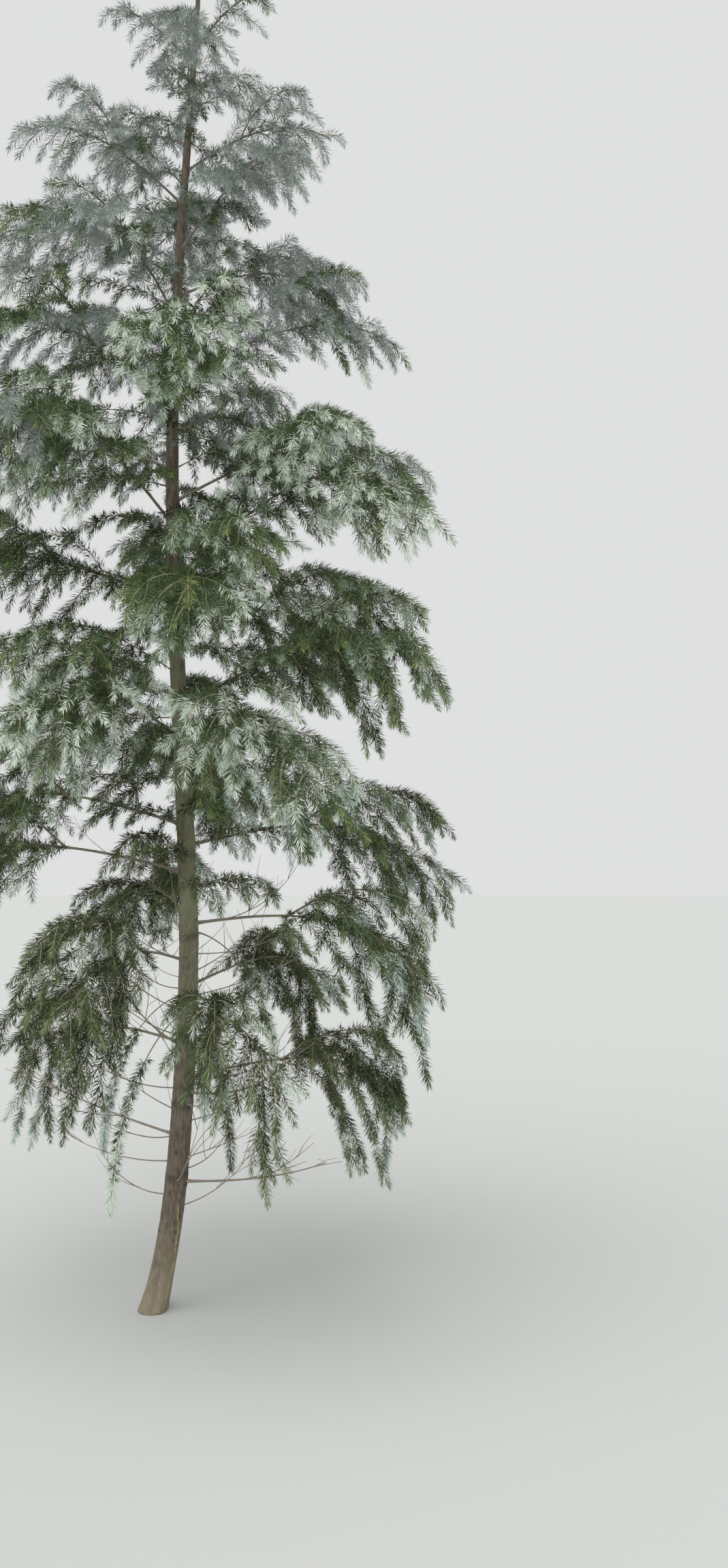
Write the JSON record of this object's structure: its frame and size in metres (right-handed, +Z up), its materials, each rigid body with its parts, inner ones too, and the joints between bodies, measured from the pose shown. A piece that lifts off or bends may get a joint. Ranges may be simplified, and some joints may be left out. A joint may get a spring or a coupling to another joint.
{
  "type": "young cedar tree",
  "caption": "Young cedar tree with weeping shoots: slim trunk swept at its foot, arching boughs with hanging masses of needles, bare dead twigs round the foot and a nodding leading shoot.",
  "frame": {"origin": "middle of the flat cut under the trunk, at ground level", "axes": "+Z up along the trunk, -Y towards the viewer of the picture, +X to the viewer's right"},
  "size_m": [2.0415, 2.1139, 5.1385],
  "materials": {
    "bark": "smooth grey-brown bark",
    "needles": "fine grey-green needles"
  },
  "bodies": {
    "root": {"bough_01": "bark", "bough_02": "bark", "bough_03": "bark", "bough_04": "bark", "bough_05": "bark", "bough_06": "bark", "bough_07": "bark", "bough_08": "bark", "bough_09": "bark", "bough_10": "bark", "bough_11": "bark", "bough_12": "bark", "dead_twigs_1": "bark", "dead_twigs_2": "bark", "dead_twigs_3": "bark", "dead_twigs_4": "bark", "leading_shoot": "needles", "needle_mass_01": "needles", "needle_mass_02": "needles", "needle_mass_03": "needles", "needle_mass_04": "needles", "needle_mass_05": "needles", "needle_mass_06": "needles", "needle_mass_07": "needles", "needle_mass_08": "needles", "needle_mass_09": "needles", "needle_mass_10": "needles", "needle_mass_11": "needles", "needle_mass_12": "needles", "needle_mass_13": "needles", "needle_mass_14": "needles", "needle_mass_15": "needles", "needle_mass_16": "needles", "needle_mass_17": "needles", "needle_mass_18": "needles", "needle_mass_19": "needles", "needle_mass_20": "needles", "needle_mass_21": "needles", "needle_mass_22": "needles", "needle_mass_23": "needles", "needle_mass_24": "needles", "needle_mass_25": "needles", "needle_mass_26": "needles", "needle_mass_27": "needles", "needle_mass_28": "needles", "needle_mass_29": "needles", "needle_mass_30": "needles", "needle_mass_31": "needles", "needle_mass_32": "needles", "needle_mass_33": "needles", "needle_mass_34": "needles", "needle_mass_35": "needles", "needle_mass_36": "needles", "needle_mass_37": "needles", "needle_mass_38": "needles", "needle_mass_39": "needles", "needle_mass_40": "needles", "needle_mass_41": "needles", "needle_mass_42": "needles", "trunk": "bark"}
  },
  "joints": []
}
